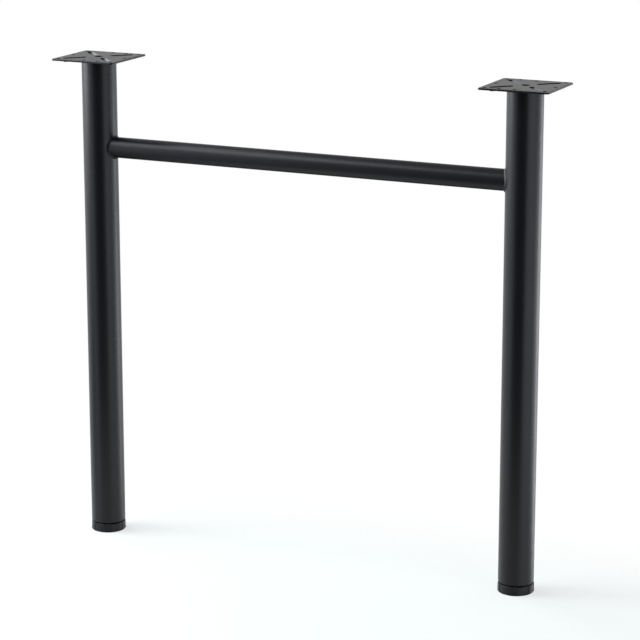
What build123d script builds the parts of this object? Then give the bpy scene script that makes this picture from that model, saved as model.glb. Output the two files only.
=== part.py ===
from build123d import *
import os
from math import cos, degrees, radians, sqrt, tan

# Welded table leg: two round steel legs joined by a round crossbar, a pressed mounting plate on top of
# each leg and a screw-in levelling foot below it. Millimetres and degrees. The origin is on the floor
# midway between the legs, X runs along the crossbar and Z points up.

# Frame tubes
overall_height = 710.0
leg_spacing = 650.0
leg_diameter = 50.0
leg_wall = 1.5
leg_edge_bevel = 0.4
crossbar_diameter = 30.0
crossbar_wall = 1.5
crossbar_height = 580.0
cope_gap = 0.1
crossbar_weld_leg = 2.0

# Pressed mounting plate
plate_side = 100.0
plate_thickness = 2.5
plate_corner_round = 4.0
plate_edge_bevel = 0.4
vent_hole_diameter = 12.0
screw_hole_diameter = 6.0
screw_hole_inset = 8.0
inner_screw_offset = 22.0
bead_width = 9.0
bead_depth = 2.6
bead_slope = 40.0
bead_inner_reach = 16.5
bead_outer_reach = 53.0
bead_lip_round = 0.6
bead_notch_clearance = 0.4
plate_weld_leg = 3.5
plate_weld_end_gap = 2.0

# Plastic insert in the lower end of each leg
flange_inset = 0.6
flange_thickness = 1.5
insert_clearance = 0.1
insert_depth = 35.0
insert_wall = 2.5
insert_web = 2.0
insert_shoulder = 4.0
insert_rib_count = 4
insert_rib_thickness = 2.5

# Captive nut and threaded stud
nut_across_flats = 17.0
nut_height = 8.0
nut_clearance = 0.1
nut_recess = 0.5
nut_cover = 3.0
stud_diameter = 10.0
stud_end_chamfer = 1.0
stud_head_diameter = 16.0
stud_head_height = 4.0
stud_spare = 8.0
stud_running_clearance = 0.05
stud_pass_clearance = 0.5

# Moulded levelling foot
foot_diameter = 51.0
foot_height = 13.0
foot_top_bevel = 1.2
foot_bottom_bevel = 0.8
foot_wall = 3.0
foot_cover = 3.5
foot_rib_count = 8
foot_rib_thickness = 2.5
foot_rib_lift = 0.6
foot_travel = 15.0
hub_diameter = 38.0
hub_rise = 1.2
hub_edge_bevel = 0.6
hub_seat_gap = 0.3
boss_cover = 3.0
grip_count = 8
grip_angle = 22.0
grip_depth = 0.8
grip_base = 2.0
left_foot_turn = 17.5
right_foot_turn = 1.4

# Radii and levels that follow from the sizes above
leg_radius = leg_diameter / 2
leg_bore_radius = leg_radius - leg_wall
crossbar_radius = crossbar_diameter / 2
plate_underside = overall_height - plate_thickness
screw_hole_reach = plate_side / 2 - screw_hole_inset
ridge_spread = plate_thickness * (1 / cos(radians(bead_slope)) - tan(radians(bead_slope)))
ridge_width = bead_width + 2 * ridge_spread
notch_width = ridge_width + 2 * bead_notch_clearance
hub_top = foot_height + hub_rise
flange_underside = hub_top + hub_seat_gap
tube_bottom = flange_underside + flange_thickness
nut_bottom = flange_underside + nut_recess
nut_top = nut_bottom + nut_height
stud_radius = stud_diameter / 2
stud_head_radius = stud_head_diameter / 2
stud_head_bottom = boss_cover
stud_head_top = stud_head_bottom + stud_head_height
stud_top = nut_top + foot_travel + stud_spare
foot_radius = foot_diameter / 2
boss_radius = stud_head_radius + boss_cover

sides = {"left": -1, "right": 1}
foot_turns = {"left": left_foot_turn, "right": right_foot_turn}


def leg_plane(side, height=0.0):
    """Level plane centred on one leg, with its X axis towards the other leg."""
    return Plane(origin=(side * leg_spacing / 2, 0, height), x_dir=(-side, 0, 0), z_dir=(0, 0, 1))


def leg_axis(side):
    """Upright axis of one leg."""
    return Axis((side * leg_spacing / 2, 0, 0), (0, 0, 1))


def radial_plane(side, angle):
    """Upright plane through a leg's axis: X runs outward at the angle, Y runs up."""
    level = leg_plane(side).rotated((0, 0, angle))
    return Plane(origin=level.origin, x_dir=level.x_dir, z_dir=-level.y_dir)


def save(builder, name):
    """Label one finished piece and write it."""
    builder.part.label = name
    export_step(builder.part, f"parts/{name}.step")


def make_leg_tube(name, side):
    """Round leg, notched at the top where the plate's pressed beads cross its wall."""
    with BuildPart() as tube:
        with BuildSketch(leg_plane(side, tube_bottom)):
            Circle(leg_radius)
            Circle(leg_bore_radius, mode=Mode.SUBTRACT)
        extrude(amount=plate_underside - tube_bottom)
        chamfer(tube.edges().group_by(Axis.Z)[0].sort_by(SortBy.LENGTH)[-1], leg_edge_bevel)
        with BuildSketch(leg_plane(side, plate_underside)):
            with PolarLocations(leg_radius - leg_wall / 2, 4, start_angle=45):
                Rectangle(4 * leg_wall, notch_width)
        extrude(amount=-(bead_depth + bead_notch_clearance), mode=Mode.SUBTRACT)
    save(tube, f"{name}_leg_tube")


def make_crossbar_tube():
    """Round crossbar with both ends coped to the legs."""
    with BuildPart() as bar:
        with BuildSketch(Plane(origin=(0, 0, crossbar_height), x_dir=(0, 1, 0), z_dir=(1, 0, 0))):
            Circle(crossbar_radius)
            Circle(crossbar_radius - crossbar_wall, mode=Mode.SUBTRACT)
        extrude(amount=leg_spacing / 2, both=True)
        for side in sides.values():
            with BuildSketch(leg_plane(side, crossbar_height)):
                Circle(leg_radius + cope_gap)
            extrude(amount=crossbar_diameter, both=True, mode=Mode.SUBTRACT)
    save(bar, "crossbar_tube")


def make_crossbar_weld(name, side):
    """Fillet bead that follows the saddle-shaped seam between the crossbar and one leg."""
    across_bar = Plane(
        origin=(side * leg_spacing / 2, 0, crossbar_height), x_dir=(0, 1, 0), z_dir=(-side, 0, 0)
    )
    with BuildPart() as weld:
        with BuildSketch(leg_plane(side, crossbar_height)):
            Circle(leg_radius)
        extrude(amount=crossbar_diameter, both=True)
        with BuildSketch(across_bar):
            Circle(crossbar_radius)
        extrude(amount=leg_radius + crossbar_diameter)
        chamfer(weld.edges(Select.NEW), crossbar_weld_leg)
        with BuildSketch(leg_plane(side, crossbar_height)):
            Circle(leg_radius)
        extrude(amount=crossbar_diameter, both=True, mode=Mode.SUBTRACT)
        with BuildSketch(across_bar):
            Circle(crossbar_radius)
        extrude(amount=leg_radius + crossbar_diameter, mode=Mode.SUBTRACT)
    save(weld, f"{name}_crossbar_weld")


def make_mounting_plate(name, side):
    """Square plate with four pressed diagonal beads, a vent hole and ten screw holes."""
    bead_length = bead_outer_reach - bead_inner_reach
    bead_middle = (bead_outer_reach + bead_inner_reach) / 2
    with BuildPart() as plate:
        with BuildSketch(leg_plane(side, plate_underside)):
            RectangleRounded(plate_side, plate_side, plate_corner_round)
        extrude(amount=plate_thickness)
        with BuildSketch(leg_plane(side, plate_underside)):
            with PolarLocations(bead_middle, 4, start_angle=45):
                SlotOverall(bead_length + 2 * ridge_spread, ridge_width)
        extrude(amount=-bead_depth, taper=bead_slope)
        with BuildSketch(leg_plane(side, overall_height)):
            with PolarLocations(bead_middle, 4, start_angle=45):
                SlotOverall(bead_length, bead_width)
        extrude(amount=-bead_depth, taper=bead_slope, mode=Mode.SUBTRACT)
        rim = plate.faces().filter_by(Axis.Z).sort_by(Axis.Z)[-1]
        chamfer(rim.outer_wire().edges(), plate_edge_bevel)
        lips = plate.faces().filter_by(Axis.Z).sort_by(Axis.Z)[-1].inner_wires()
        fillet([edge for lip in lips for edge in lip.edges()], bead_lip_round)
        with BuildSketch(leg_plane(side, overall_height)):
            Circle(vent_hole_diameter / 2)
            with GridLocations(2 * screw_hole_reach, 2 * screw_hole_reach, 2, 2):
                Circle(screw_hole_diameter / 2)
            with PolarLocations(screw_hole_reach, 4):
                Circle(screw_hole_diameter / 2)
            with Locations((inner_screw_offset, screw_hole_reach), (inner_screw_offset, -screw_hole_reach)):
                Circle(screw_hole_diameter / 2)
        extrude(amount=-plate_thickness, mode=Mode.SUBTRACT)
    save(plate, f"{name}_mounting_plate")


def make_plate_weld(name, side):
    """Four fillet beads under the plate, round the tube between the pressed beads."""
    notch_half_angle = degrees(notch_width / 2 / leg_radius)
    gap_angle = degrees(plate_weld_end_gap / leg_radius)
    start = 45 + notch_half_angle + gap_angle
    arc = 90 - 2 * (notch_half_angle + gap_angle)
    with BuildPart() as weld:
        for quarter in range(4):
            with BuildSketch(radial_plane(side, start + 90 * quarter)):
                with BuildLine():
                    Polyline(
                        (leg_radius, plate_underside),
                        (leg_radius + plate_weld_leg, plate_underside),
                        (leg_radius, plate_underside - plate_weld_leg),
                        close=True,
                    )
                make_face()
            revolve(axis=leg_axis(side), revolution_arc=arc)
    save(weld, f"{name}_plate_weld")


def make_foot_insert(name, side):
    """Moulded plug in the tube's end: thin flange, sleeve, and a ribbed boss that holds the nut."""
    sleeve_radius = leg_bore_radius - insert_clearance
    sleeve_bore = sleeve_radius - insert_wall
    nut_boss_radius = nut_across_flats / sqrt(3) + nut_clearance + nut_cover
    boss_top = nut_top + insert_shoulder
    web_top = tube_bottom + insert_web
    with BuildPart() as insert:
        with BuildSketch(leg_plane(side, flange_underside)):
            Circle(leg_radius - flange_inset)
        extrude(amount=flange_thickness)
        with BuildSketch(leg_plane(side, tube_bottom)):
            Circle(sleeve_radius)
        extrude(amount=insert_depth)
        with BuildSketch(leg_plane(side, web_top)):
            Circle(sleeve_bore)
        extrude(amount=insert_depth, mode=Mode.SUBTRACT)
        with BuildSketch(leg_plane(side, web_top)):
            Circle(nut_boss_radius)
            with PolarLocations((nut_boss_radius + sleeve_bore) / 2, insert_rib_count):
                Rectangle(sleeve_bore - nut_boss_radius + insert_wall, insert_rib_thickness)
        extrude(amount=boss_top - web_top)
        with BuildSketch(leg_plane(side, flange_underside)):
            RegularPolygon(nut_across_flats / 2 + nut_clearance, 6, major_radius=False)
        extrude(amount=nut_top - flange_underside, mode=Mode.SUBTRACT)
        with BuildSketch(leg_plane(side, nut_top)):
            Circle(stud_radius + stud_pass_clearance)
        extrude(amount=insert_shoulder, mode=Mode.SUBTRACT)
    save(insert, f"{name}_foot_insert")


def make_foot_nut(name, side):
    """Hexagon nut with its corners turned off at both faces."""
    corner_radius = nut_across_flats / sqrt(3)
    corner_drop = (corner_radius - nut_across_flats / 2) * tan(radians(30))
    with BuildPart() as nut:
        with BuildSketch(leg_plane(side, nut_bottom)):
            RegularPolygon(nut_across_flats / 2, 6, major_radius=False)
            Circle(stud_radius + stud_running_clearance, mode=Mode.SUBTRACT)
        extrude(amount=nut_height)
        with BuildSketch(radial_plane(side, 0)):
            with BuildLine():
                Polyline(
                    (0, nut_bottom),
                    (nut_across_flats / 2, nut_bottom),
                    (corner_radius, nut_bottom + corner_drop),
                    (corner_radius, nut_top - corner_drop),
                    (nut_across_flats / 2, nut_top),
                    (0, nut_top),
                    close=True,
                )
            make_face()
        revolve(axis=leg_axis(side), mode=Mode.INTERSECT)
    save(nut, f"{name}_foot_nut")


def make_foot_stud(name, side):
    """Threaded stud with the round head that the foot is moulded over."""
    with BuildPart() as stud:
        with BuildSketch(leg_plane(side, stud_head_bottom)):
            Circle(stud_head_radius)
        extrude(amount=stud_head_height)
        with BuildSketch(leg_plane(side, stud_head_top)):
            Circle(stud_radius)
        extrude(amount=stud_top - stud_head_top)
        chamfer(stud.edges().group_by(Axis.Z)[-1], stud_end_chamfer)
    save(stud, f"{name}_foot_stud")


def make_foot_base(name, side):
    """Moulded foot: castellated rim, raised hub, and an underside cored out between radial ribs."""
    core_radius = foot_radius - grip_depth - foot_wall
    core_depth = foot_height - foot_cover
    turn = foot_turns[name]
    with BuildPart() as foot:
        with BuildSketch(leg_plane(side)):
            Circle(foot_radius)
        extrude(amount=foot_height)
        chamfer(foot.edges().group_by(Axis.Z)[-1], foot_top_bevel)
        chamfer(foot.edges().group_by(Axis.Z)[0], foot_bottom_bevel)
        for grip in range(grip_count):
            with BuildSketch(radial_plane(side, turn + grip * 360 / grip_count)):
                with BuildLine():
                    Polyline(
                        (foot_radius - grip_depth, grip_base),
                        (foot_radius + grip_depth, grip_base),
                        (foot_radius + grip_depth, foot_height + grip_depth),
                        (foot_radius - grip_depth, foot_height + grip_depth),
                        close=True,
                    )
                make_face()
            revolve(axis=leg_axis(side), revolution_arc=grip_angle, mode=Mode.SUBTRACT)
        with BuildSketch(leg_plane(side, foot_height / 2)):
            Circle(hub_diameter / 2)
        extrude(amount=hub_top - foot_height / 2)
        chamfer(foot.edges().group_by(Axis.Z)[-1], hub_edge_bevel)
        with BuildSketch(leg_plane(side)):
            Circle(core_radius)
            Circle(boss_radius, mode=Mode.SUBTRACT)
        extrude(amount=core_depth, mode=Mode.SUBTRACT)
        with BuildSketch(leg_plane(side, foot_rib_lift)):
            with PolarLocations((core_radius + boss_radius) / 2, foot_rib_count, start_angle=turn):
                Rectangle(core_radius - boss_radius + foot_wall, foot_rib_thickness)
        extrude(amount=core_depth - foot_rib_lift)
        with BuildSketch(leg_plane(side, stud_head_bottom - stud_running_clearance)):
            Circle(stud_head_radius + stud_running_clearance)
        extrude(amount=stud_head_height + 2 * stud_running_clearance, mode=Mode.SUBTRACT)
        with BuildSketch(leg_plane(side, stud_head_top)):
            Circle(stud_radius + stud_running_clearance)
        extrude(amount=hub_top - stud_head_top, mode=Mode.SUBTRACT)
    save(foot, f"{name}_foot_base")


os.makedirs("parts", exist_ok=True)
make_crossbar_tube()
for side_name, side_sign in sides.items():
    make_leg_tube(side_name, side_sign)
    make_mounting_plate(side_name, side_sign)
    make_plate_weld(side_name, side_sign)
    make_crossbar_weld(side_name, side_sign)
    make_foot_insert(side_name, side_sign)
    make_foot_nut(side_name, side_sign)
    make_foot_stud(side_name, side_sign)
    make_foot_base(side_name, side_sign)
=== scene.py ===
"""Looks of a welded table leg: coated round tubes, pressed top plates, weld beads and levelling feet."""
from math import asin, ceil, cos, pi, radians, sin, sqrt, tan, tau

import bmesh
import bpy
from bpy.props import FloatProperty, FloatVectorProperty, IntProperty, PointerProperty
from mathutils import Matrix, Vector


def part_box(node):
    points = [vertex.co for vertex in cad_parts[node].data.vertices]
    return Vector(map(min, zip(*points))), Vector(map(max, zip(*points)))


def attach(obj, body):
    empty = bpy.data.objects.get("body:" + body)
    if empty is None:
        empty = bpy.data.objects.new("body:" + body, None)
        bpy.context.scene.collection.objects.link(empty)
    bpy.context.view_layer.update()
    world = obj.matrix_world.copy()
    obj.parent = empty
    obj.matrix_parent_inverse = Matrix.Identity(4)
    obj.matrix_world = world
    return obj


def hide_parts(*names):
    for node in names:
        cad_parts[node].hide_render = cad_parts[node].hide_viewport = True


bl_info = {
    "name": "Welded Table Leg",
    "version": (1, 0, 0),
    "blender": (4, 5, 0),
    "location": "View3D > Sidebar > Table Leg",
    "description": "Dresses an H-shaped steel table leg with tubes, pressed plates, welds and levelling feet",
    "category": "Object",
}

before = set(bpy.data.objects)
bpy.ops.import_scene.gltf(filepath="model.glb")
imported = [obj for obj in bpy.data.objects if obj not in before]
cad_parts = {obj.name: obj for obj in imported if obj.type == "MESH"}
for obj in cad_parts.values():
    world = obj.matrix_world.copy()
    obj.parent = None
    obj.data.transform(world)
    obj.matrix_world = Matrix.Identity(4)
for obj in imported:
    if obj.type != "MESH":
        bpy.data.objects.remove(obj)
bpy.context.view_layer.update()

MM = 0.001
SIDES = {"left": -1, "right": 1}
QUARTER = pi / 2
DIAGONAL = pi / 4
# Points closer than the first length become one, and edges shorter than the second go.
MERGE, SLIVER = 0.001 * MM, 0.0005 * MM
# From these angles on, in degrees, an edge stays sharp: on solid pieces, and on welds and threads.
SHARP_EDGE, SHARP_RIPPLE = 35, 40
# How many straight steps each round form is drawn in.
BEVEL_STEPS, NOTCH_STEPS, LEG_STEPS, BAR_STEPS = 4, 8, 36, 160
CORNER_STEPS, SCREW_STEPS, VENT_STEPS, BEAD_STEPS, BEND_STEPS = 12, 32, 64, 16, 5
SEAM_STEPS, WELD_STEPS = 260, 12
GRIP_STEPS, SHOULDER_STEPS, RIB_STEPS, STUD_STEPS, THREAD_STEPS = 16, 12, 18, 48, 10
# The floor is a film: its middle and half its size, the share of the white behind it that it covers, where
# its fade begins on the way from middle to border, and its lift towards white.
FLOOR_MIDDLE, FLOOR_HALF = (0.10, -0.20, 0.0), (1.0, 0.5, 1.0)
FLOOR_COVER, FLOOR_FADE, FLOOR_LIFT = 0.5, 0.4, 0.38
# The world: the way to the white backdrop, the light it throws, where 1 is white, and the dim room's level.
BACKDROP_WAY, BACKDROP_LIGHT, ROOM_LIGHT = (-0.42, 0.907, 0.0), 0.8, 0.04
WHITE, LIGHT_COLOUR = "#ffffff", "#f0f5ff"
# Each light: where it hangs, the height it faces, its width and height, and its brightness (1 looks white).
LIGHTS = {
    "left_key": ((-1.9, -0.6, 1.0), 1.0, 1.1, 1.1, 8.0),
    "left_front": ((-1.3, -1.5, 0.4), 0.4, 0.9, 2.2, 0.8),
    "right_front": ((1.9, -0.7, 0.4), 0.4, 1.7, 2.2, 1.2),
    "right_side": ((1.9, 0.7, -0.1), -0.1, 1.0, 1.1, 1.2),
    "right_back": ((1.3, 1.5, -0.1), -0.1, 0.7, 1.1, 3.5),
    "left_back": ((-3.6, 1.7, 2.0), 0.4, 2.0, 3.4, 2.5),
    "overhead": ((-1.3, -0.6, 2.0), 0.4, 2.0, 1.1, 3.2),
}
# The camera: where it stands, its turn in degrees, and its lens and sensor in millimetres.
CAMERA_PLACE, CAMERA_TURN = (1.46221, -3.11223, 1.2120), (76.0, 0.0, 24.8)
CAMERA_LENS, CAMERA_SENSOR = 140.9, 36.0

leg_low, leg_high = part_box("right_leg_tube")
bar_low, bar_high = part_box("crossbar_tube")
plate_low, plate_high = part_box("right_mounting_plate")
hub_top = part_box("right_foot_base")[1].z
stud_low, stud_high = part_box("right_foot_stud")
leg_offset = (leg_low.x + leg_high.x) / 2
bar_level = (bar_low.z + bar_high.z) / 2
head_radius = stud_high.x - leg_offset


def srgb(code):
    """Linear RGBA of an sRGB hex colour."""
    parts = [int(code[i:i + 2], 16) / 255 for i in (1, 3, 5)]
    return tuple(c / 12.92 if c <= 0.04045 else ((c + 0.055) / 1.055) ** 2.4 for c in parts) + (1.0,)


def length(name, text, default):
    """A length the user can change, in metres."""
    return FloatProperty(name=name, description=text, default=default, min=0.0, unit="LENGTH", precision=5)


def angle(name, text, degrees):
    """An angle the user can change."""
    return FloatProperty(name=name, description=text, default=radians(degrees), subtype="ANGLE")


def colour(name, text, code):
    """A surface colour the user can change."""
    return FloatVectorProperty(name=name, description=text, default=srgb(code), size=4, min=0, max=1,
                               subtype="COLOR")


class TubeSizes(bpy.types.PropertyGroup):
    """Sizes of the legs and the crossbar."""
    leg_diameter: length("Leg diameter", "Outside of the upright tubes", leg_high.y - leg_low.y)
    leg_wall: length("Leg wall", "Wall of the upright tubes", 1.5 * MM)
    leg_bevel: length("Leg end bevel", "Broken edge at the lower end of a leg", 0.4 * MM)
    bar_diameter: length("Crossbar diameter", "Outside of the crossbar", bar_high.z - bar_low.z)
    bar_wall: length("Crossbar wall", "Wall of the crossbar", 1.5 * MM)
    cope_gap: length("Cope gap", "Room between the crossbar's end and a leg", 0.1 * MM)


class PlateSizes(bpy.types.PropertyGroup):
    """Sizes of the pressed top plates."""
    thickness: length("Sheet thickness", "Thickness of the plate's sheet", 2.5 * MM)
    corner: length("Corner radius", "Round of the plate's four corners", 4.0 * MM)
    rim: length("Rim round", "Round of the plate's upper edge", 1.0 * MM)
    screw_hole: length("Screw hole", "Diameter of the screw holes", 6.0 * MM)
    screw_reach: length("Screw reach", "From the middle to the outer screw holes, along one side", 42.0 * MM)
    inner_screw: length("Inner screws", "From the middle to the inner pair of screw holes", 22.0 * MM)
    vent_hole: length("Vent hole", "Diameter of the hole in the middle", 12.0 * MM)
    hole_edge: length("Hole edge", "Broken edge of the holes", 0.15 * MM)
    bead_width: length("Bead width", "Width of a pressed bead at the upper face", 9.0 * MM)
    bead_depth: length("Bead depth", "Depth of a pressed bead", 2.6 * MM)
    bead_inner: length("Bead inner end", "From the middle to the inner end of a bead", 16.5 * MM)
    bead_outer: length("Bead outer end", "From the middle to the outer end of a bead", 53.0 * MM)
    bead_lip: length("Bead lip", "Round of the sheet where it bends into a bead", 0.7 * MM)
    bead_slope: angle("Bead slope", "Lean of a bead's wall from upright", 40)
    notch_gap: length("Notch clearance", "Room between a bead and its notch in the leg", 0.4 * MM)


class WeldSizes(bpy.types.PropertyGroup):
    """Sizes of the weld beads."""
    bar_leg: length("Crossbar weld leg", "How far a crossbar weld reaches along each wall", 2.0 * MM)
    plate_leg: length("Plate weld leg", "How far a plate weld reaches along each wall", 3.5 * MM)
    crown: FloatProperty(name="Crown", description="Rise of a weld's middle, as a share of its leg",
                         default=0.14, min=0.0, subtype="FACTOR")
    ripple_pitch: length("Ripple pitch", "Distance between the ripples of a weld", 1.7 * MM)
    ripple_height: length("Ripple height", "Height of the ripples", 0.16 * MM)
    root: length("Root depth", "How far a weld reaches into the seam", 0.4 * MM)
    end_gap: length("End gap", "Room between a weld's end and a notch in the leg", 2.0 * MM)
    run_out: length("Run-out", "Length over which the end of a plate weld thins out", 3.0 * MM)
    spacing: length("Section spacing", "Distance between the sections of a plate weld", 0.4 * MM)


class FootSizes(bpy.types.PropertyGroup):
    """Sizes of the levelling feet."""
    diameter: length("Foot diameter", "Outside of the foot", 51.0 * MM)
    height: length("Foot height", "From the floor to the foot's shoulder", 13.0 * MM)
    shoulder: length("Shoulder round", "Round of the foot's upper edge", 1.2 * MM)
    base_bevel: length("Base bevel", "Bevel of the foot's lower edge", 0.8 * MM)
    hub_diameter: length("Hub diameter", "Raised disc on top of the foot", 38.0 * MM)
    hub_bevel: length("Hub bevel", "Broken edge of the raised disc", 0.6 * MM)
    grips: IntProperty(name="Grips", description="Number of finger recesses in the rim", default=8, min=3)
    grip_angle: angle("Grip angle", "Width of a finger recess", 22)
    grip_depth: length("Grip depth", "Depth of a finger recess", 0.8 * MM)
    grip_flank: length("Grip flank", "Run of a finger recess's sloped sides", 0.6 * MM)
    grip_base: length("Grip base", "From the floor to the lower end of a finger recess", 2.0 * MM)
    wall: length("Rim wall", "Wall between a finger recess and the cored underside", 3.0 * MM)
    cover: length("Shoulder cover", "Material between the shoulder and the cored underside", 3.5 * MM)
    boss_radius: length("Boss radius", "Boss round the stud's head", 11.0 * MM)
    rib: length("Rib thickness", "Thickness of the ribs under the foot", 2.5 * MM)
    rib_lift: length("Rib lift", "Room between the ribs and the floor", 0.6 * MM)
    left_turn: angle("Left foot turn", "Where the left foot's recesses begin", 17.5)
    right_turn: angle("Right foot turn", "Where the right foot's recesses begin", 1.4)
    stud_diameter: length("Stud diameter", "Outside of the stud's thread", 10.0 * MM)
    stud_head: length("Stud head height", "Height of the stud's moulded-in head", 4.0 * MM)
    stud_neck: length("Stud neck", "Plain length between the stud's head and its thread", 2.0 * MM)
    stud_bevel: length("Stud bevel", "Bevel of the stud's upper end", 1.0 * MM)
    stud_clearance: length("Stud clearance", "Room round the stud in the foot", 0.05 * MM)
    thread_pitch: length("Thread pitch", "Travel of the foot for one turn", 1.5 * MM)
    thread_depth: length("Thread depth", "Depth of the stud's thread", 0.9 * MM)


class Finishes(bpy.types.PropertyGroup):
    """Colours of the leg and its stage."""
    coat: colour("Powder coat", "Colour of the coated steel", "#121317")
    coat_light: colour("Powder coat, light", "Lightest flecks of the coated steel", "#191a1e")
    foot: colour("Foot", "Colour of the moulded feet", "#0b0c0e")
    foot_light: colour("Foot, light", "Lightest flecks of the moulded feet", "#131416")
    insert: colour("Insert", "Colour of the inserts in the leg ends", "#0c0d0e")
    zinc: colour("Zinc", "Colour of the plated studs and nuts", "#c4c8cb")
    floor: colour("Floor", "Colour of the studio floor", "#eff6f2")


class TableLeg(bpy.types.PropertyGroup):
    """All settings of the table leg."""
    tubes: PointerProperty(type=TubeSizes)
    plate: PointerProperty(type=PlateSizes)
    weld: PointerProperty(type=WeldSizes)
    foot: PointerProperty(type=FootSizes)
    finish: PointerProperty(type=Finishes)


def add_node(tree, kind, inputs=None, **settings):
    """Adds one node, sets its properties, and sets or links its inputs."""
    node = tree.nodes.new(kind)
    for name, value in settings.items():
        setattr(node, name, value)
    for name, value in (inputs or {}).items():
        if isinstance(value, bpy.types.NodeSocket):
            tree.links.new(value, node.inputs[name])
        else:
            node.inputs[name].default_value = value
    return node


def calc(tree, operation, *values, clamp=False):
    """The result of one sum of numbers."""
    inputs = dict(enumerate(values))
    return add_node(tree, "ShaderNodeMath", inputs, operation=operation, use_clamp=clamp).outputs[0]


def calc_vector(tree, operation, *values, **named):
    """The result of one sum of vectors."""
    inputs = {**dict(enumerate(values)), **named}
    node = add_node(tree, "ShaderNodeVectorMath", inputs, operation=operation)
    return node.outputs["Value" if operation == "DOT_PRODUCT" else "Vector"]


def soft_step(tree, value, start, end, low=0.0, high=1.0):
    """A level that goes smoothly from low to high while the value goes from start to end."""
    return add_node(tree, "ShaderNodeMapRange", {
        "Value": value, "From Min": start, "From Max": end, "To Min": low, "To Max": high},
        interpolation_type="SMOOTHSTEP").outputs[0]


def noise(tree, size, detail, roughness=0.5):
    """Noise with grains of a real size, fixed to the piece."""
    place = add_node(tree, "ShaderNodeTexCoord").outputs["Object"]
    return add_node(tree, "ShaderNodeTexNoise", {
        "Vector": place, "Scale": 1 / size, "Detail": detail, "Roughness": roughness}).outputs[0]


def flecked(tree, share, dark, light):
    """A colour between two others, by a noise."""
    mixed = add_node(tree, "ShaderNodeMix", {0: share, "A": dark, "B": light}, data_type="RGBA")
    return mixed.outputs["Result"]


def new_material(name):
    """A material by its name, and its empty node tree, which is None where the material is there already."""
    found = bpy.data.materials.get(name)
    if found:
        return found, None
    material = bpy.data.materials.new(name)
    material.use_nodes = True
    material.node_tree.nodes.clear()
    return material, material.node_tree


def end_material(tree, tone, sheen, relief, smoothest, roughest, strength, depth, **traits):
    """Ends a material: its colour, a roughness that drifts with one noise, and the relief of another."""
    drift = add_node(tree, "ShaderNodeMapRange", {"Value": sheen, "To Min": smoothest, "To Max": roughest})
    bump = add_node(tree, "ShaderNodeBump", {"Height": relief, "Strength": strength, "Distance": depth})
    skin = add_node(tree, "ShaderNodeBsdfPrincipled", {
        "Base Color": tone, "Roughness": drift.outputs[0], "Normal": bump.outputs[0], **traits})
    add_node(tree, "ShaderNodeOutputMaterial", {"Surface": skin.outputs[0]})


def satin_black_powder_coat(finish):
    """Polyester powder coat on steel: a black film with a soft sheen, broken up by a fine orange peel."""
    material, tree = new_material("satin_black_powder_coat")
    if tree is None:
        return material
    # Orange peel is about 1.5 mm across; it is drawn at 2.5 mm, to show in a picture of the whole leg.
    peel = noise(tree, size=2.5 * MM, detail=2.0, roughness=0.45)
    # Film thickness drifts over about 80 mm and turns the sheen a little.
    drift = noise(tree, size=80 * MM, detail=2.0)
    # Flecks of pigment are about 0.6 mm across.
    fleck = noise(tree, size=0.6 * MM, detail=1.0)
    tone = flecked(tree, fleck, finish.coat, finish.coat_light)
    end_material(tree, tone, drift, peel, smoothest=0.33, roughest=0.41,
                 strength=0.35, depth=0.03 * MM, IOR=1.5)
    return material


def black_moulded_polypropylene(finish):
    """Polypropylene moulded in a spark-eroded tool: dull black with a fine pitted texture."""
    material, tree = new_material("black_moulded_polypropylene")
    if tree is None:
        return material
    # Spark texture is about 0.1 mm across; it is drawn at 0.5 mm so that it shows up close.
    pits = noise(tree, size=0.5 * MM, detail=3.0)
    # Scuffs are some 12 mm across.
    scuff = noise(tree, size=12 * MM, detail=4.0)
    tone = flecked(tree, pits, finish.foot, finish.foot_light)
    end_material(tree, tone, scuff, pits, smoothest=0.34, roughest=0.46,
                 strength=0.25, depth=0.03 * MM, IOR=1.49)
    return material


def black_moulded_polyamide(finish):
    """Polyamide moulded in a plain tool: dull black with faint flow marks."""
    material, tree = new_material("black_moulded_polyamide")
    if tree is None:
        return material
    # Flow marks are some 6 mm long.
    flow = noise(tree, size=6 * MM, detail=3.0)
    end_material(tree, finish.insert, flow, flow, smoothest=0.40, roughest=0.52,
                 strength=0.2, depth=0.05 * MM, IOR=1.53)
    return material


def bright_zinc_plate(finish):
    """Bright zinc plate on rolled steel: a pale metal with a fine grain and a slightly clouded sheen."""
    material, tree = new_material("bright_zinc_plate")
    if tree is None:
        return material
    # Passivation clouds are some 4 mm across, and the grain of the steel 0.4 mm.
    cloud = noise(tree, size=4 * MM, detail=4.0)
    grain = noise(tree, size=0.4 * MM, detail=2.0)
    end_material(tree, finish.zinc, cloud, grain, smoothest=0.24, roughest=0.42,
                 strength=0.2, depth=0.02 * MM, Metallic=1.0)
    return material


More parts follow.
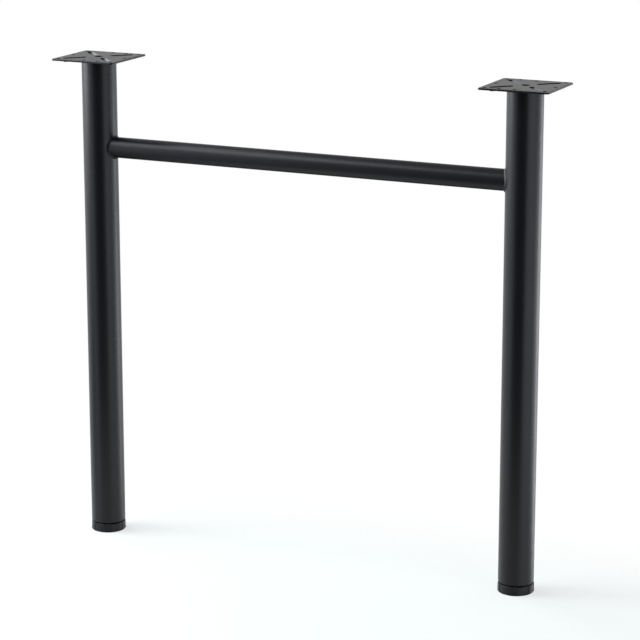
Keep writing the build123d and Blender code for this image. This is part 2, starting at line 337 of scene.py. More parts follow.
def pale_studio_floor(finish):
    """Matt pale film that takes the leg's shadow, fades at its borders and is clear from below."""
    material, tree = new_material("pale_studio_floor")
    if tree is None:
        return material
    place = add_node(tree, "ShaderNodeTexCoord").outputs["Object"]
    share = calc_vector(tree, "SUBTRACT", place, FLOOR_MIDDLE)
    share = calc_vector(tree, "ABSOLUTE", calc_vector(tree, "DIVIDE", share, FLOOR_HALF))
    share = add_node(tree, "ShaderNodeSeparateXYZ", {0: share}).outputs
    border = calc(tree, "MAXIMUM", share["X"], share["Y"])
    cover = soft_step(tree, border, FLOOR_FADE, 1.0, FLOOR_COVER, 0.0)
    below = add_node(tree, "ShaderNodeNewGeometry").outputs["Backfacing"]
    cover = calc(tree, "SUBTRACT", cover, below, clamp=True)
    rays = add_node(tree, "ShaderNodeLightPath").outputs
    seen = calc(tree, "MAXIMUM", rays["Is Camera Ray"], rays["Is Glossy Ray"])
    lift = calc(tree, "MULTIPLY", seen, FLOOR_LIFT)
    glow = add_node(tree, "ShaderNodeEmission", {"Color": finish.floor, "Strength": lift})
    matt = add_node(tree, "ShaderNodeBsdfDiffuse", {"Color": finish.floor})
    film = add_node(tree, "ShaderNodeAddShader", {0: matt.outputs[0], 1: glow.outputs[0]})
    clear = add_node(tree, "ShaderNodeBsdfTransparent")
    both = add_node(tree, "ShaderNodeMixShader", {0: cover, 1: clear.outputs[0], 2: film.outputs[0]})
    add_node(tree, "ShaderNodeOutputMaterial", {"Surface": both.outputs[0]})
    return material


def join_rings(mesh, rings, wrap=False):
    """Joins neighbouring closed rings of equally many points by faces."""
    rows = [[mesh.verts.new(point) for point in ring] for ring in rings]
    pairs = list(zip(rows, rows[1:]))
    if wrap:
        pairs.append((rows[-1], rows[0]))
    for lower, upper in pairs:
        for i in range(len(lower)):
            j = (i + 1) % len(lower)
            mesh.faces.new((lower[i], lower[j], upper[j], upper[i]))
    return rows


def ring_edges(mesh, row):
    """The edges along one closed row of vertices."""
    pairs = [(row[i - 1], row[i]) for i in range(len(row))]
    return [mesh.edges.get(pair) or mesh.edges.new(pair) for pair in pairs]


def add_object(name, data):
    """Puts a mesh, a light or a camera into the scene."""
    item = bpy.data.objects.new(name, data)
    bpy.context.collection.objects.link(item)
    return item


def mesh_object(mesh, name, *materials):
    """Puts a built mesh into the scene."""
    data = bpy.data.meshes.new(name)
    mesh.to_mesh(data)
    mesh.free()
    for material in materials:
        data.materials.append(material)
    return add_object(name, data)


def clean(mesh):
    """Closes a mesh, takes out slivers and turns its faces outwards."""
    bmesh.ops.remove_doubles(mesh, verts=mesh.verts, dist=MERGE)
    bmesh.ops.dissolve_degenerate(mesh, dist=SLIVER, edges=mesh.edges)
    bmesh.ops.recalc_face_normals(mesh, faces=mesh.faces)


def shade(data, sharp):
    """Smooth shading, with sharp edges from an angle on."""
    data.shade_smooth()
    data.set_sharp_from_angle(angle=radians(sharp))


def plain_mesh(piece):
    """Turns a piece's modifiers into a plain mesh."""
    graph = bpy.context.evaluated_depsgraph_get()
    result = bpy.data.meshes.new_from_object(piece.evaluated_get(graph), depsgraph=graph)
    old = piece.data
    piece.modifiers.clear()
    piece.data = result
    bpy.data.meshes.remove(old)
    result.name = piece.name


def place_piece(piece, body, slot, *nodes):
    """Hangs a finished piece on its body in place of the CAD nodes it stands for."""
    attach(piece, body)
    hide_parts(*nodes)


def finish_mesh(mesh, name, material):
    """Makes a built mesh a closed piece with smooth shading and true flats."""
    clean(mesh)
    piece = mesh_object(mesh, name, material)
    shade(piece.data, SHARP_EDGE)
    flats = piece.modifiers.new("true_flats", "WEIGHTED_NORMAL")
    flats.keep_sharp = True
    flats.weight = 100
    plain_mesh(piece)
    return piece


def ridge_spread(plate):
    """How much wider a bead's ridge under the sheet is than its pocket above it, on each side."""
    return plate.thickness * (1 / cos(plate.bead_slope) - tan(plate.bead_slope))


def notch_half_width(plate):
    """Half the width of a leg's notch for one pressed bead."""
    return plate.bead_width / 2 + ridge_spread(plate) + plate.notch_gap


def leg_mesh(x, tubes, plate):
    """Round tube with a broken lower edge and four notches at the top for the plate's beads."""
    outer = tubes.leg_diameter / 2
    inner = outer - tubes.leg_wall
    bevel = tubes.leg_bevel
    top, notch_floor = leg_high.z, leg_high.z - plate.bead_depth - plate.notch_gap
    half = asin(notch_half_width(plate) / (outer - tubes.leg_wall / 2))
    rest = QUARTER - 2 * half
    columns = []
    for quarter in range(4):
        start = DIAGONAL + quarter * QUARTER - half
        end = DIAGONAL + quarter * QUARTER + half
        columns += [(start, top), (start, notch_floor)]
        columns += [(start + 2 * half * i / NOTCH_STEPS, notch_floor) for i in range(1, NOTCH_STEPS)]
        columns += [(end, notch_floor), (end, top)]
        columns += [(end + rest * i / LEG_STEPS, top) for i in range(1, LEG_STEPS)]

    def ring(radius, level):
        return [(x + radius * cos(a), radius * sin(a), min(level, limit)) for a, limit in columns]

    rings = [ring(inner, leg_low.z), ring(outer - bevel, leg_low.z)]
    for i in range(1, BEVEL_STEPS):
        t = QUARTER * i / BEVEL_STEPS
        rings.append(ring(outer - bevel + bevel * sin(t), leg_low.z + bevel - bevel * cos(t)))
    rings += [ring(outer, leg_low.z + bevel), ring(outer, notch_floor), ring(outer, top), ring(inner, top),
              ring(inner, notch_floor)]
    mesh = bmesh.new()
    join_rings(mesh, rings, wrap=True)
    return mesh


def crossbar_mesh(tubes):
    """Round tube with both ends coped to the legs."""
    leg = tubes.leg_diameter / 2 + tubes.cope_gap

    def ring(radius, side):
        points = []
        for i in range(BAR_STEPS):
            y, z = radius * cos(tau * i / BAR_STEPS), radius * sin(tau * i / BAR_STEPS)
            points.append((side * (leg_offset - sqrt(leg * leg - y * y)), y, bar_level + z))
        return points

    outer = tubes.bar_diameter / 2
    inner = outer - tubes.bar_wall
    mesh = bmesh.new()
    join_rings(mesh, [ring(outer, -1), ring(outer, 1), ring(inner, 1), ring(inner, -1)], wrap=True)
    return mesh


class TABLELEG_OT_tubes(bpy.types.Operator):
    """Make the two legs and the crossbar between them"""
    bl_idname = "tableleg.tubes"
    bl_label = "Legs and Crossbar"

    def execute(self, context):
        leg = context.scene.table_leg
        coat = satin_black_powder_coat(leg.finish)
        for name, side in SIDES.items():
            piece = finish_mesh(leg_mesh(side * leg_offset, leg.tubes, leg.plate), f"{name}_leg", coat)
            place_piece(piece, "frame", "powder_coat", f"{name}_leg_tube")
        bar = finish_mesh(crossbar_mesh(leg.tubes), "crossbar", coat)
        place_piece(bar, "frame", "powder_coat", "crossbar_tube")
        return {"FINISHED"}


def rounded_square(half, corner, inset, level):
    """Ring of points round a square with round corners, moved inwards by the inset."""
    reach, radius = half - corner, corner - inset
    points = []
    for quarter, (u, v) in enumerate(((1, 1), (-1, 1), (-1, -1), (1, -1))):
        for i in range(CORNER_STEPS + 1):
            a = quarter * QUARTER + QUARTER * i / CORNER_STEPS
            points.append((reach * u + radius * cos(a), reach * v + radius * sin(a), level))
    return points


def circle(u, v, radius, level, count):
    """Ring of points round a circle."""
    turns = [tau * i / count for i in range(count)]
    return [(u + radius * cos(a), v + radius * sin(a), level) for a in turns]


def bead_ring(plate, quarter, radius, level):
    """Ring of points round a diagonal bead, at a distance from its middle line."""
    turn = DIAGONAL + quarter * QUARTER
    near = plate.bead_inner + plate.bead_width / 2
    far = plate.bead_outer - plate.bead_width / 2
    points = []
    for centre, start in ((far, -QUARTER), (near, QUARTER)):
        for i in range(BEAD_STEPS + 1):
            a = start + pi * i / BEAD_STEPS
            along, across = centre + radius * cos(a), radius * sin(a)
            u = along * cos(turn) - across * sin(turn)
            v = along * sin(turn) + across * cos(turn)
            points.append((u, v, level))
    return points


def bend(start, level, lean, radius, drop):
    """Section of a pressed wall: from a flat, round into a slope, round into the bead's floor."""
    slope = QUARTER - lean
    reach = radius * tan(slope / 2)
    end = start - drop * tan(lean)
    angles = [slope * i / BEND_STEPS for i in range(BEND_STEPS + 1)]
    points = [(start + reach - radius * sin(a), level - radius * (1 - cos(a))) for a in angles]
    for a in reversed(angles):
        points.append((end - reach + radius * sin(a), level - drop + radius * (1 - cos(a))))
    return points


def plate_mesh(x, side, plate):
    """Square pressed plate: rounded rim, screw holes, vent hole and four diagonal beads."""
    half = (plate_high.y - plate_low.y) / 2
    top, under = plate_high.z, plate_high.z - plate.thickness
    mesh = bmesh.new()
    rim = []
    for i in range(BEVEL_STEPS + 1):
        t = QUARTER * i / BEVEL_STEPS
        inset, drop = plate.rim * (1 - sin(t)), plate.rim * (1 - cos(t))
        rim.append(rounded_square(half, plate.corner, inset, top - drop))
    rows = join_rings(mesh, rim + [rounded_square(half, plate.corner, 0, under)])
    above, below = ring_edges(mesh, rows[0]), ring_edges(mesh, rows[-1])
    reach, inner, edge = plate.screw_reach, plate.inner_screw, plate.hole_edge
    spots = [(u, v) for u in (-reach, reach) for v in (-reach, reach)]
    spots += [(reach, 0), (-reach, 0), (0, reach), (0, -reach), (inner, reach), (inner, -reach)]
    holes = [(u, v, plate.screw_hole / 2, SCREW_STEPS) for u, v in spots]
    holes.append((0, 0, plate.vent_hole / 2, VENT_STEPS))
    for u, v, radius, count in holes:
        wide = radius + edge
        section = ((wide, top), (radius, top - edge), (radius, under + edge), (wide, under))
        wall = join_rings(mesh, [circle(u, v, r, level, count) for r, level in section])
        above += ring_edges(mesh, wall[0])
        below += ring_edges(mesh, wall[-1])
    shape = plate.bead_slope, plate.bead_lip, plate.bead_depth
    pocket = bend(plate.bead_width / 2, top, *shape)
    ridge = bend(plate.bead_width / 2 + ridge_spread(plate), under, *shape)
    for quarter in range(4):
        for section, rim_edges in ((pocket, above), (ridge, below)):
            wall = join_rings(mesh, [bead_ring(plate, quarter, radius, level) for radius, level in section])
            rim_edges += ring_edges(mesh, wall[0])
            mesh.faces.new(wall[-1])
    for edges, up in ((above, 1), (below, -1)):
        bmesh.ops.triangle_fill(mesh, edges=edges, use_beauty=True, normal=(0, 0, up))
    for vertex in mesh.verts:
        vertex.co = (x - side * vertex.co.x, -side * vertex.co.y, vertex.co.z)
    return mesh


class TABLELEG_OT_plates(bpy.types.Operator):
    """Make the pressed plates that screw under a table top"""
    bl_idname = "tableleg.plates"
    bl_label = "Top Plates"

    def execute(self, context):
        leg = context.scene.table_leg
        coat = satin_black_powder_coat(leg.finish)
        for name, side in SIDES.items():
            piece = finish_mesh(plate_mesh(side * leg_offset, side, leg.plate), f"{name}_top_plate", coat)
            place_piece(piece, "frame", "powder_coat", f"{name}_mounting_plate")
        return {"FINISHED"}


def weld_path(name, points, walls, taper=None):
    """Line along a seam that carries the wall directions, the distance run and the taper; and its length."""
    data = bpy.data.meshes.new(name)
    data.from_pydata(points, [(i, i + 1) for i in range(len(points) - 1)], [])
    run = [0.0]
    for a, b in zip(points, points[1:]):
        run.append(run[-1] + (Vector(b) - Vector(a)).length)
    for label, rows in zip(("first_wall", "second_wall"), zip(*walls)):
        layer = data.attributes.new(label, "FLOAT_VECTOR", "POINT")
        layer.data.foreach_set("vector", [c for row in rows for c in row])
    for label, values in (("run", run), ("taper", taper or [1.0] * len(points))):
        data.attributes.new(label, "FLOAT", "POINT").data.foreach_set("value", values)
    return add_object(name, data), run[-1]


def new_tree(name, source, numbers, finish, result):
    """An empty geometry tree with its named inputs and output, and the sockets of the inputs."""
    tree = bpy.data.node_groups.new(name, "GeometryNodeTree")
    inputs = [(source, "Geometry")] + [(label, "Float") for label in numbers] + [(finish, "Material")]
    for label, kind in inputs:
        tree.interface.new_socket(label, in_out="INPUT", socket_type=f"NodeSocket{kind}")
    tree.interface.new_socket(result, in_out="OUTPUT", socket_type="NodeSocketGeometry")
    return tree, add_node(tree, "NodeGroupInput").outputs


def end_tree(tree, shape, material):
    """Ends a geometry tree with real geometry in one material."""
    whole = add_node(tree, "GeometryNodeRealizeInstances", {"Geometry": shape})
    dressed = add_node(tree, "GeometryNodeSetMaterial", {"Geometry": whole.outputs[0], "Material": material})
    add_node(tree, "NodeGroupOutput", {0: dressed.outputs[0]})
    return tree


def weld_tree():
    """Sweeps a rippled fillet along a seam, from one wall to the other, with its root inside the seam."""
    tree = bpy.data.node_groups.get("weld_bead")
    if tree:
        return tree
    numbers = ("Weld Leg", "Crown", "Ripple Pitch", "Ripple Height", "Root Depth")
    tree, given = new_tree("weld_bead", "Seam", numbers, "Weld Finish", "Weld")
    seam = given["Seam"]
    count = add_node(tree, "GeometryNodeAttributeDomainSize", {"Geometry": seam}).outputs["Point Count"]
    strip = add_node(tree, "GeometryNodeMeshGrid", {"Vertices X": count, "Vertices Y": WELD_STEPS + 1})
    share = add_node(tree, "ShaderNodeSeparateXYZ", {0: strip.outputs["UV Map"]}).outputs
    last = calc(tree, "SUBTRACT", count, 1.0)
    station = calc(tree, "ROUND", calc(tree, "MULTIPLY", share["X"], last))
    # The strip's width goes over the weld's face, then to the root and in the last step back to the start.
    face_end, root_at = (WELD_STEPS - 2) / WELD_STEPS, (WELD_STEPS - 1) / WELD_STEPS
    across = add_node(tree, "ShaderNodeMapRange", {"Value": share["Y"], "From Max": face_end}).outputs[0]
    across = calc(tree, "MULTIPLY", across, calc(tree, "LESS_THAN", share["Y"], (root_at + 1) / 2))
    at_root = calc(tree, "COMPARE", share["Y"], root_at, 0.25 / WELD_STEPS)
    sampled = {}
    for label, kind in (("position", "FLOAT_VECTOR"), ("first_wall", "FLOAT_VECTOR"),
                        ("second_wall", "FLOAT_VECTOR"), ("run", "FLOAT"), ("taper", "FLOAT")):
        value = add_node(tree, "GeometryNodeInputNamedAttribute", {"Name": label}, data_type=kind).outputs[0]
        sampled[label] = add_node(tree, "GeometryNodeSampleIndex", {
            "Geometry": seam, "Value": value, "Index": station}, data_type=kind).outputs[0]
    walls = sampled["first_wall"], sampled["second_wall"]
    chord = add_node(tree, "ShaderNodeMix", {0: across, "A": walls[0], "B": walls[1]}, data_type="VECTOR")
    chord = calc_vector(tree, "SCALE", chord.outputs["Result"], Scale=given["Weld Leg"])
    out = calc_vector(tree, "NORMALIZE", calc_vector(tree, "ADD", *walls))
    arch = calc(tree, "SINE", calc(tree, "MULTIPLY", across, pi))
    # Each ripple is a crescent: its middle lags behind its ends by one pitch.
    phase = calc(tree, "DIVIDE", sampled["run"], given["Ripple Pitch"])
    phase = calc(tree, "SUBTRACT", phase, arch)
    wave = calc(tree, "SINE", calc(tree, "MULTIPLY", phase, tau))
    proud = calc(tree, "MULTIPLY_ADD", wave, given["Ripple Height"], given["Crown"])
    proud = calc_vector(tree, "SCALE", out, Scale=calc(tree, "MULTIPLY", proud, arch))
    surface = calc_vector(tree, "ADD", chord, proud)
    root = calc_vector(tree, "SCALE", out, Scale=calc(tree, "MULTIPLY", given["Root Depth"], -1.0))
    offset = add_node(tree, "ShaderNodeMix", {0: at_root, "A": surface, "B": root}, data_type="VECTOR")
    offset = calc_vector(tree, "SCALE", offset.outputs["Result"], Scale=sampled["taper"])
    place = calc_vector(tree, "ADD", sampled["position"], offset)
    moved = add_node(tree, "GeometryNodeSetPosition", {"Geometry": strip.outputs["Mesh"], "Position": place})
    closed = add_node(tree, "GeometryNodeMergeByDistance", {"Geometry": moved.outputs[0], "Distance": MERGE})
    return end_tree(tree, closed.outputs[0], given["Weld Finish"])


def run_tree(piece, tree, values):
    """Gives a piece a node tree, sets its named inputs and makes the result a plain closed mesh."""
    maker = piece.modifiers.new(tree.name, "NODES")
    maker.node_group = tree
    sockets = {item.name: item.identifier for item in tree.interface.items_tree if item.in_out == "INPUT"}
    for label, value in values.items():
        maker[sockets[label]] = value
    plain_mesh(piece)
    mesh = bmesh.new()
    mesh.from_mesh(piece.data)
    if not mesh.faces:
        raise RuntimeError(f"{piece.name} came out empty")
    clean(mesh)
    mesh.to_mesh(piece.data)
    mesh.free()
    shade(piece.data, SHARP_RIPPLE)


def crossbar_seam(side, tubes):
    """Saddle-shaped seam between the crossbar and one leg, with the directions along both walls."""
    bar, leg = tubes.bar_diameter / 2, tubes.leg_diameter / 2

    def point(i):
        y, z = bar * cos(tau * i / SEAM_STEPS), bar * sin(tau * i / SEAM_STEPS)
        return Vector((side * (leg_offset - sqrt(leg * leg - y * y)), y, bar_level + z))

    points, walls = [], []
    for i in range(SEAM_STEPS + 1):
        here = point(i)
        along = (point(i + 1) - point(i - 1)).normalized()
        leg_out = Vector((here.x - side * leg_offset, here.y, 0)).normalized()
        bar_out = Vector((0, here.y, here.z - bar_level)).normalized()
        on_leg, on_bar = along.cross(leg_out), along.cross(bar_out)
        on_leg = on_leg if on_leg.dot(bar_out) > 0 else -on_leg
        on_bar = on_bar if on_bar.dot(leg_out) > 0 else -on_bar
        points.append(tuple(here))
        walls.append((on_leg, on_bar))
    return points, walls


def plate_seam(side, quarter, tubes, plate, weld):
    """Arc of the seam under the plate between two beads, with the walls' directions and the taper."""
    leg = tubes.leg_diameter / 2
    gap = (notch_half_width(plate) + weld.end_gap) / leg
    start = DIAGONAL + quarter * QUARTER + gap
    arc = QUARTER - 2 * gap
    count = ceil(arc * leg / weld.spacing)
    points, walls, taper = [], [], []
    for i in range(count + 1):
        a = start + arc * i / count
        points.append((side * leg_offset + leg * cos(a), leg * sin(a), leg_high.z))
        walls.append((Vector((cos(a), sin(a), 0)), Vector((0, 0, -1))))
        near_end = min(1.0, min(i, count - i) * (arc * leg / count) / weld.run_out)
        taper.append(sqrt(1 - (1 - near_end) ** 2))
    return points, walls, taper


class TABLELEG_OT_welds(bpy.types.Operator):
    """Make the weld beads under the plates and round the crossbar's ends"""
    bl_idname = "tableleg.welds"
    bl_label = "Weld Beads"

    def execute(self, context):
        leg = context.scene.table_leg
        coat = satin_black_powder_coat(leg.finish)
        tree = weld_tree()
        weld = leg.weld
        values = {"Ripple Pitch": weld.ripple_pitch, "Ripple Height": weld.ripple_height,
                  "Root Depth": weld.root, "Weld Finish": coat}
        bar = dict(values, **{"Weld Leg": weld.bar_leg, "Crown": weld.bar_leg * weld.crown})
        arc = dict(values, **{"Weld Leg": weld.plate_leg, "Crown": weld.plate_leg * weld.crown})
        for name, side in SIDES.items():
            piece, run = weld_path(f"{name}_bar_bead", *crossbar_seam(side, leg.tubes))
            # The ripples meet where the bead closes.
            bar["Ripple Pitch"] = run / round(run / weld.ripple_pitch)
            run_tree(piece, tree, bar)
            place_piece(piece, "frame", "powder_coat", f"{name}_crossbar_weld")
            for quarter in range(4):
                seam = plate_seam(side, quarter, leg.tubes, leg.plate, weld)
                piece = weld_path(f"{name}_plate_bead_{quarter + 1}", *seam)[0]
                run_tree(piece, tree, arc)
                place_piece(piece, "frame", "powder_coat", f"{name}_plate_weld")
        return {"FINISHED"}


def foot_shell(mesh, foot):
    """Outside of a foot: rim with finger recesses, shoulder, raised hub and the socket for the stud."""
    outer, top, fillet = foot.diameter / 2, foot.height, foot.shoulder
    recess = outer - foot.grip_depth
    step = tau / foot.grips
    flank = foot.grip_flank / outer
    width, rest = foot.grip_angle - 2 * flank, step - foot.grip_angle
    columns = []
    for grip in range(foot.grips):
        start, end = grip * step, grip * step + foot.grip_angle
        columns.append((start, False))
        columns += [(start + flank + width * i / GRIP_STEPS, True) for i in range(GRIP_STEPS + 1)]
        columns.append((end, False))
        columns += [(end + rest * i / GRIP_STEPS, False) for i in range(1, GRIP_STEPS)]
    hub, bevel, gap = foot.hub_diameter / 2, foot.hub_bevel, foot.stud_clearance
    socket, head = foot.stud_diameter / 2 + gap, head_radius + gap
    head_low, head_high = stud_low.z - gap, stud_low.z + foot.stud_head + gap
    plain = [(outer - foot.base_bevel, 0.0), (outer, foot.base_bevel), (outer, foot.grip_base)]
    meet = asin((recess - outer + fillet) / fillet)
    angles = sorted({QUARTER * i / SHOULDER_STEPS for i in range(SHOULDER_STEPS + 1)} | {meet}, reverse=True)
    gripped = [(outer, foot.grip_base)]
    gripped += [(outer - fillet + fillet * sin(a), top - fillet + fillet * cos(a)) for a in angles]
    gripped += [(hub, top), (hub, hub_top - bevel), (hub - bevel, hub_top), (socket, hub_top),
                (socket, head_high), (head, head_high), (head, head_low), (0.0, head_low)]
    rings = []
    for section, recessed in ((plain, False), (gripped, True)):
        for radius, level in section:
            radii = [(a, min(radius, recess) if in_grip and recessed else radius) for a, in_grip in columns]
            rings.append([(r * cos(a), r * sin(a), level) for a, r in radii])
    join_rings(mesh, rings)


def foot_hollow(mesh, foot):
    """Underside of a foot: a cored ring, crossed by ribs between the rim and the boss."""
    step = tau / foot.grips
    core = foot.diameter / 2 - foot.grip_depth - foot.wall
    boss, lift, deep = foot.boss_radius, foot.rib_lift, foot.height - foot.cover

    def ring(radius, low, high):
        half = asin(foot.rib / 2 / radius)
        rest = step - 2 * half
        columns = []
        for rib in range(foot.grips):
            middle = rib * step
            start, end = middle - half, middle + half
            columns += [(start, high), (start, low), (middle, low), (end, low), (end, high)]
            columns += [(end + rest * i / RIB_STEPS, high) for i in range(1, RIB_STEPS)]
        return [(radius * cos(a), radius * sin(a), level) for a, level in columns]

    join_rings(mesh, [ring(core, 0.0, 0.0), ring(core, lift, lift), ring(core, lift, deep),
                      ring(boss, lift, deep), ring(boss, lift, lift), ring(boss, 0.0, 0.0)])


def foot_mesh(x, side, turn, foot):
    """Moulded foot: shell and ribbed hollow, joined by the faces that stand on the floor."""
    mesh = bmesh.new()
    foot_shell(mesh, foot)
    foot_hollow(mesh, foot)
    bmesh.ops.remove_doubles(mesh, verts=mesh.verts, dist=MERGE)
    floor = [e for e in mesh.edges if e.is_boundary]
    bmesh.ops.triangle_fill(mesh, edges=floor, use_beauty=True, normal=(0, 0, -1))
    for vertex in mesh.verts:
        u, v = vertex.co.x, vertex.co.y
        vertex.co.x = x - side * (u * cos(turn) - v * sin(turn))
        vertex.co.y = -side * (u * sin(turn) + v * cos(turn))
    return mesh


class TABLELEG_OT_feet(bpy.types.Operator):
    """Make the moulded levelling feet"""
    bl_idname = "tableleg.feet"
    bl_label = "Levelling Feet"

    def execute(self, context):
        leg = context.scene.table_leg
        plastic = black_moulded_polypropylene(leg.finish)
        turns = {"left": leg.foot.left_turn, "right": leg.foot.right_turn}
        for name, side in SIDES.items():
            mesh = foot_mesh(side * leg_offset, side, turns[name], leg.foot)
            piece = finish_mesh(mesh, f"{name}_moulded_foot", plastic)
            place_piece(piece, f"{name}_foot", "foot_plastic", f"{name}_foot_base")
        return {"FINISHED"}


def stud_blank(x, foot):
    """Stud before its thread is rolled: round head, plain shank with close rings, bevelled end."""
    radius, bevel = foot.stud_diameter / 2, foot.stud_bevel
    low, neck, top = stud_low.z, stud_low.z + foot.stud_head, stud_high.z
    shank = top - bevel - neck
    count = ceil(shank / (foot.thread_pitch / THREAD_STEPS))
    section = [(0.0, low), (head_radius, low), (head_radius, neck), (radius, neck)]
    section += [(radius, neck + shank * i / count) for i in range(1, count + 1)]
    section += [(radius - bevel, top), (0.0, top)]
    mesh = bmesh.new()
    join_rings(mesh, [circle(x, 0.0, r, level, STUD_STEPS) for r, level in section])
    bmesh.ops.remove_doubles(mesh, verts=mesh.verts, dist=MERGE)
    return mesh


def thread_tree():
    """Rolls a thread into a round shank: a vee groove that climbs by one pitch for each turn."""
    tree = bpy.data.node_groups.get("rolled_thread")
    if tree:
        return tree
    numbers = ("Axis X", "Thread Start", "Thread Radius", "Thread Pitch", "Thread Depth")
    tree, given = new_tree("rolled_thread", "Blank", numbers, "Stud Finish", "Stud")
    axis, radius = given["Axis X"], given["Thread Radius"]
    position = add_node(tree, "GeometryNodeInputPosition").outputs[0]
    place = add_node(tree, "ShaderNodeSeparateXYZ", {0: position}).outputs
    aside = calc(tree, "SUBTRACT", place["X"], axis)
    turn = calc(tree, "DIVIDE", calc(tree, "ARCTAN2", place["Y"], aside), tau)
    climb = calc(tree, "DIVIDE", place["Z"], given["Thread Pitch"])
    phase = calc(tree, "FRACT", calc(tree, "SUBTRACT", climb, turn))
    vee = calc(tree, "ABSOLUTE", calc(tree, "SUBTRACT", phase, 0.5))
    # Crests stay flat over an eighth of the pitch and roots over a quarter.
    sink = add_node(tree, "ShaderNodeMapRange", {"Value": vee, "From Min": 1 / 16, "From Max": 3 / 8})
    sunk = calc(tree, "SUBTRACT", radius, calc(tree, "MULTIPLY", sink.outputs[0], given["Thread Depth"]))
    share = calc(tree, "DIVIDE", sunk, radius)
    rolled = add_node(tree, "ShaderNodeCombineXYZ", {
        "X": calc(tree, "MULTIPLY_ADD", aside, share, axis), "Y": calc(tree, "MULTIPLY", place["Y"], share),
        "Z": place["Z"]})
    threaded = calc(tree, "GREATER_THAN", place["Z"], given["Thread Start"])
    moved = add_node(tree, "GeometryNodeSetPosition", {
        "Geometry": given["Blank"], "Selection": threaded, "Position": rolled.outputs[0]})
    return end_tree(tree, moved.outputs[0], given["Stud Finish"])


class TABLELEG_OT_studs(bpy.types.Operator):
    """Make the threaded studs and finish the inserts and nuts that hold them"""
    bl_idname = "tableleg.studs"
    bl_label = "Studs, Nuts and Inserts"

    def execute(self, context):
        leg = context.scene.table_leg
        foot = leg.foot
        zinc = bright_zinc_plate(leg.finish)
        plastic = black_moulded_polyamide(leg.finish)
        tree = thread_tree()
        values = {"Thread Start": stud_low.z + foot.stud_head + foot.stud_neck,
                  "Thread Radius": foot.stud_diameter / 2, "Thread Pitch": foot.thread_pitch,
                  "Thread Depth": foot.thread_depth, "Stud Finish": zinc}
        for name, side in SIDES.items():
            piece = mesh_object(stud_blank(side * leg_offset, foot), f"{name}_threaded_stud")
            run_tree(piece, tree, dict(values, **{"Axis X": side * leg_offset}))
            place_piece(piece, f"{name}_stud", "zinc_steel", f"{name}_foot_stud")
            for node, material in ((f"{name}_foot_nut", zinc), (f"{name}_foot_insert", plastic)):
                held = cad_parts[node].data
                held.materials.clear()
                held.materials.append(material)
        return {"FINISHED"}


def softbox(name, place, aim, width, height, brightness):
    """Rectangular soft light that faces the leg's middle at one height and stays out of the picture."""
    data = bpy.data.lights.new(name, "AREA")
    data.shape = "RECTANGLE"
    data.size, data.size_y = width, height
    data.energy = brightness * pi * width * height
    data.color = srgb(LIGHT_COLOUR)[:3]
    lamp = add_object(name, data)
    lamp.location = place
    lamp.rotation_mode = "QUATERNION"
    lamp.rotation_quaternion = (Vector((0, 0, aim)) - Vector(place)).to_track_quat("-Z", "Y")
    lamp.visible_camera = False


def studio_world():
    """White backdrop behind the leg, and a dim room on the viewer's side of it."""
    world = bpy.data.worlds.new("studio_world")
    world.use_nodes = True
    tree = world.node_tree
    tree.nodes.clear()
    rays = add_node(tree, "ShaderNodeLightPath").outputs
    way = add_node(tree, "ShaderNodeTexCoord").outputs["Generated"]
    height = add_node(tree, "ShaderNodeSeparateXYZ", {0: way}).outputs["Z"]
    # The backdrop begins beside the leg, is dimmer towards its top and nearly dark well below the floor.
    behind = soft_step(tree, calc_vector(tree, "DOT_PRODUCT", way, BACKDROP_WAY), -0.35, 0.5)
    above = soft_step(tree, height, 0.1, 0.6, 1.0, 0.3)
    below = soft_step(tree, height, -0.6, -0.3, 0.1, 1.0)
    backdrop = calc(tree, "MULTIPLY", behind, calc(tree, "MULTIPLY", above, below))
    # Reflections see the backdrop as white as the camera does, and the light it throws is a little less.
    level = calc(tree, "MAXIMUM", rays["Is Glossy Ray"], BACKDROP_LIGHT)
    room = calc(tree, "MAXIMUM", calc(tree, "MULTIPLY", backdrop, level), ROOM_LIGHT)
    seen = calc(tree, "MAXIMUM", rays["Is Camera Ray"], rays["Is Transmission Ray"])
    strength = calc(tree, "MAXIMUM", room, seen)
    light = add_node(tree, "ShaderNodeBackground", {"Color": srgb(WHITE), "Strength": strength})
    add_node(tree, "ShaderNodeOutputWorld", {"Surface": light.outputs[0]})
    bpy.context.scene.world = world


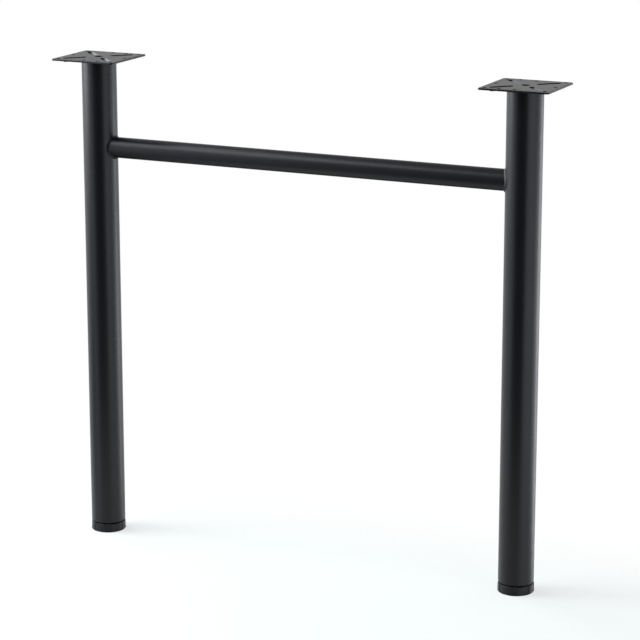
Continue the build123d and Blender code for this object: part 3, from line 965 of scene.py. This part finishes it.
class TABLELEG_OT_stage(bpy.types.Operator):
    """Make the floor, the soft lights and the camera"""
    bl_idname = "tableleg.stage"
    bl_label = "Studio"

    def execute(self, context):
        film = pale_studio_floor(context.scene.table_leg.finish)
        front, back = FLOOR_MIDDLE[1] - FLOOR_HALF[1], FLOOR_MIDDLE[1] + FLOOR_HALF[1]
        # A foot that is screwed out keeps its half of the floor under it.
        for name, side in SIDES.items():
            near, far = sorted((0.0, FLOOR_MIDDLE[0] + side * FLOOR_HALF[0]))
            corners = ((near, front, 0.0), (far, front, 0.0), (far, back, 0.0), (near, back, 0.0))
            mesh = bmesh.new()
            mesh.faces.new([mesh.verts.new(corner) for corner in corners])
            floor = mesh_object(mesh, f"studio_floor_{name}", film)
            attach(floor, f"{name}_stud")
        studio_world()
        for name, light in LIGHTS.items():
            softbox(name, *light)
        camera = add_object("studio_camera", bpy.data.cameras.new("studio_camera"))
        camera.data.sensor_width, camera.data.lens = CAMERA_SENSOR, CAMERA_LENS
        camera.location = CAMERA_PLACE
        camera.rotation_euler = [radians(turn) for turn in CAMERA_TURN]
        context.scene.camera = camera
        context.scene.view_settings.view_transform = "Standard"
        return {"FINISHED"}


class TABLELEG_PT_panel(bpy.types.Panel):
    """Sizes, finishes and steps of the table leg"""
    bl_idname = "TABLELEG_PT_panel"
    bl_label = "Welded Table Leg"
    bl_space_type = "VIEW_3D"
    bl_region_type = "UI"
    bl_category = "Table Leg"

    def draw(self, context):
        leg = context.scene.table_leg
        for step in STEPS:
            self.layout.operator(step.bl_idname)
        for group in (leg.tubes, leg.plate, leg.weld, leg.foot, leg.finish):
            box = self.layout.box()
            for label in group.__annotations__:
                box.prop(group, label)


STEPS = (TABLELEG_OT_tubes, TABLELEG_OT_plates, TABLELEG_OT_welds, TABLELEG_OT_feet, TABLELEG_OT_studs,
         TABLELEG_OT_stage)
CLASSES = (TubeSizes, PlateSizes, WeldSizes, FootSizes, Finishes, TableLeg) + STEPS + (TABLELEG_PT_panel,)


def register():
    """Makes the settings, the steps and the panel known."""
    for item in CLASSES:
        bpy.utils.register_class(item)
    bpy.types.Scene.table_leg = PointerProperty(type=TableLeg)


def unregister():
    """Takes the settings, the steps and the panel away again."""
    del bpy.types.Scene.table_leg
    for item in reversed(CLASSES):
        bpy.utils.unregister_class(item)


def main():
    """Builds every piece and the stage."""
    register()
    bpy.ops.tableleg.tubes()
    bpy.ops.tableleg.plates()
    bpy.ops.tableleg.welds()
    bpy.ops.tableleg.feet()
    bpy.ops.tableleg.studs()
    bpy.ops.tableleg.stage()


if __name__ == "__main__":
    main()
